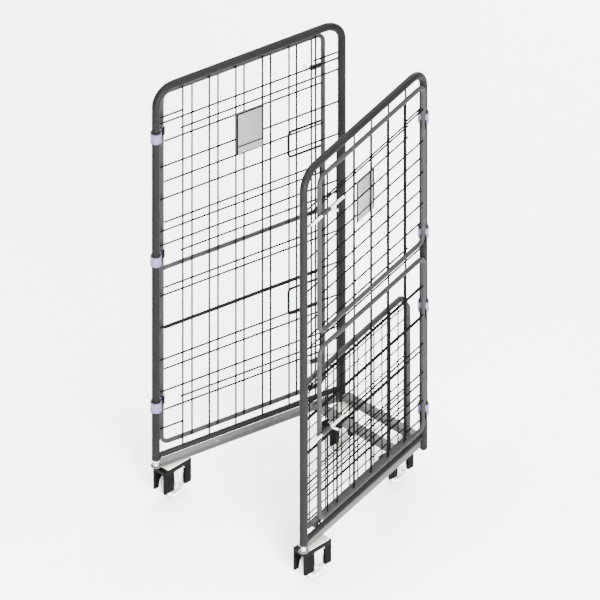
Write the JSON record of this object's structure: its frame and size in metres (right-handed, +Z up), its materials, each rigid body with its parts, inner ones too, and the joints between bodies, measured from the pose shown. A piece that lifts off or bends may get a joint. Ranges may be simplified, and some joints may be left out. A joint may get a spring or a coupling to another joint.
{
  "type": "roll cage container",
  "caption": "Nestable wire-mesh roll cage with two splayed sides, a folding deck, a full-height gate, two half gates and castors, shown nested with the gates folded back.",
  "frame": {"origin": "on the floor, at the middle of the bounding box", "axes": "+Z up, -Y towards the wide open end, +X towards the side with the two half gates"},
  "size_m": [0.7718, 0.7646, 1.7],
  "materials": {
    "post_tube": "dark grey, satin, lightly worn",
    "gate_tube": "mid grey, satin",
    "wire": "near black drawn wire, satin",
    "base_steel": "mid grey, satin, scuffed",
    "zinc_plate": "bright zinc plate",
    "clip": "pale lavender grey moulded plastic",
    "guard": "black moulded plastic",
    "hub": "white moulded plastic",
    "tyre": "non-marking pale grey tread",
    "label_plate": "blank pale grey plate, satin"
  },
  "bodies": {
    "base": {"base_leg_left": "base_steel", "base_leg_right": "base_steel", "base_rear_beam": "base_steel", "base_mid_beam": "base_steel", "pivot_pin_left": "zinc_plate", "pivot_pin_right": "zinc_plate", "front_left_castor_fork": "zinc_plate", "front_left_castor_guard": "guard", "front_left_axle": "zinc_plate", "front_right_castor_fork": "zinc_plate", "front_right_castor_guard": "guard", "front_right_axle": "zinc_plate", "rear_left_castor_plate": "zinc_plate", "rear_right_castor_plate": "zinc_plate"},
    "side_left": {"side_left_frame": "post_tube", "side_left_rail": "post_tube", "side_left_mesh": "wire", "side_left_label": "label_plate"},
    "side_right": {"side_right_frame": "post_tube", "side_right_rail": "post_tube", "side_right_mesh": "wire", "side_right_label": "label_plate", "deck_hinge_front": "base_steel", "deck_hinge_rear": "base_steel"},
    "deck": {"deck_frame": "gate_tube", "deck_mesh": "wire"},
    "full_gate": {"full_gate_frame": "gate_tube", "full_gate_mesh": "wire", "full_gate_clip_top": "clip", "full_gate_clip_mid": "clip", "full_gate_clip_bottom": "clip", "full_gate_handle_upper": "wire", "full_gate_handle_lower": "wire"},
    "full_gate_bolt_upper": {"full_gate_bolt_upper": "zinc_plate"},
    "full_gate_bolt_lower": {"full_gate_bolt_lower": "zinc_plate"},
    "upper_gate": {"upper_gate_frame": "gate_tube", "upper_gate_mesh": "wire", "upper_gate_clip_top": "clip", "upper_gate_clip_bottom": "clip"},
    "upper_gate_bolt": {"upper_gate_bolt": "zinc_plate"},
    "lower_gate": {"lower_gate_frame": "gate_tube", "lower_gate_mesh": "wire", "lower_gate_clip_top": "clip", "lower_gate_clip_bottom": "clip"},
    "lower_gate_bolt": {"lower_gate_bolt": "zinc_plate"},
    "front_left_wheel": {"front_left_wheel_hub": "hub", "front_left_wheel_tyre": "tyre"},
    "rear_left_swivel": {"rear_left_castor_fork": "zinc_plate", "rear_left_castor_guard": "guard", "rear_left_axle": "zinc_plate"},
    "rear_left_wheel": {"rear_left_wheel_hub": "hub", "rear_left_wheel_tyre": "tyre"},
    "front_right_wheel": {"front_right_wheel_hub": "hub", "front_right_wheel_tyre": "tyre"},
    "rear_right_swivel": {"rear_right_castor_fork": "zinc_plate", "rear_right_castor_guard": "guard", "rear_right_axle": "zinc_plate"},
    "rear_right_wheel": {"rear_right_wheel_hub": "hub", "rear_right_wheel_tyre": "tyre"}
  },
  "joints": [
    {"name": "deck_fold", "type": "hinge", "parent": "side_right", "child": "deck", "pos_m": [0.23576, -0.02247, 0.172], "axis": [0.2113, -0.9774, 0], "range_deg": [0, 90]},
    {"name": "side_left_swing", "type": "hinge", "parent": "base", "child": "side_left", "pos_m": [-0.3619, -0.36311, 0.2], "axis": [0, 0, 1], "range_deg": [0, 12.3]},
    {"name": "side_right_swing", "type": "hinge", "parent": "base", "child": "side_right", "pos_m": [0.3401, -0.36311, 0.2], "axis": [0, 0, -1], "range_deg": [0, 12.3]},
    {"name": "full_gate_swing", "type": "hinge", "parent": "side_left", "child": "full_gate", "pos_m": [-0.3619, -0.36311, 0.925], "axis": [0, 0, 1], "range_deg": [0, 270]},
    {"name": "upper_gate_swing", "type": "hinge", "parent": "side_right", "child": "upper_gate", "pos_m": [0.1831, 0.36311, 1.33], "axis": [0, 0, 1], "range_deg": [0, 245]},
    {"name": "lower_gate_swing", "type": "hinge", "parent": "side_right", "child": "lower_gate", "pos_m": [0.1831, 0.36311, 0.59], "axis": [0, 0, 1], "range_deg": [0, 245]},
    {"name": "full_gate_bolt_upper_slide", "type": "slide", "parent": "full_gate", "child": "full_gate_bolt_upper", "axis": [-0.2113, -0.9774, 0], "range_m": [0, 0.06]},
    {"name": "full_gate_bolt_lower_slide", "type": "slide", "parent": "full_gate", "child": "full_gate_bolt_lower", "axis": [-0.2113, -0.9774, 0], "range_m": [0, 0.06]},
    {"name": "upper_gate_bolt_slide", "type": "slide", "parent": "upper_gate", "child": "upper_gate_bolt", "axis": [-0.2113, 0.9774, 0], "range_m": [0, 0.06]},
    {"name": "lower_gate_bolt_slide", "type": "slide", "parent": "lower_gate", "child": "lower_gate_bolt", "axis": [-0.2113, 0.9774, 0], "range_m": [0, 0.06]},
    {"name": "front_left_wheel_spin", "type": "hinge", "parent": "base", "child": "front_left_wheel", "pos_m": [-0.3439, -0.297, 0.056], "axis": [1, 0, 0], "continuous": true},
    {"name": "rear_left_swivel_turn", "type": "hinge", "parent": "base", "child": "rear_left_swivel", "pos_m": [-0.1499, 0.319, 0.12], "axis": [0, 0, 1], "continuous": true},
    {"name": "rear_left_wheel_spin", "type": "hinge", "parent": "rear_left_swivel", "child": "rear_left_wheel", "pos_m": [-0.1499, 0.291, 0.056], "axis": [1, 0, 0], "continuous": true},
    {"name": "front_right_wheel_spin", "type": "hinge", "parent": "base", "child": "front_right_wheel", "pos_m": [0.3221, -0.297, 0.056], "axis": [1, 0, 0], "continuous": true},
    {"name": "rear_right_swivel_turn", "type": "hinge", "parent": "base", "child": "rear_right_swivel", "pos_m": [0.1281, 0.319, 0.12], "axis": [0, 0, 1], "continuous": true},
    {"name": "rear_right_wheel_spin", "type": "hinge", "parent": "rear_right_swivel", "child": "rear_right_wheel", "pos_m": [0.1281, 0.291, 0.056], "axis": [1, 0, 0], "continuous": true}
  ],
  "couplings": [
    {"joint": "side_left_swing", "follows": "deck_fold", "ratio": 0.13554},
    {"joint": "side_right_swing", "follows": "deck_fold", "ratio": 0.13554}
  ]
}
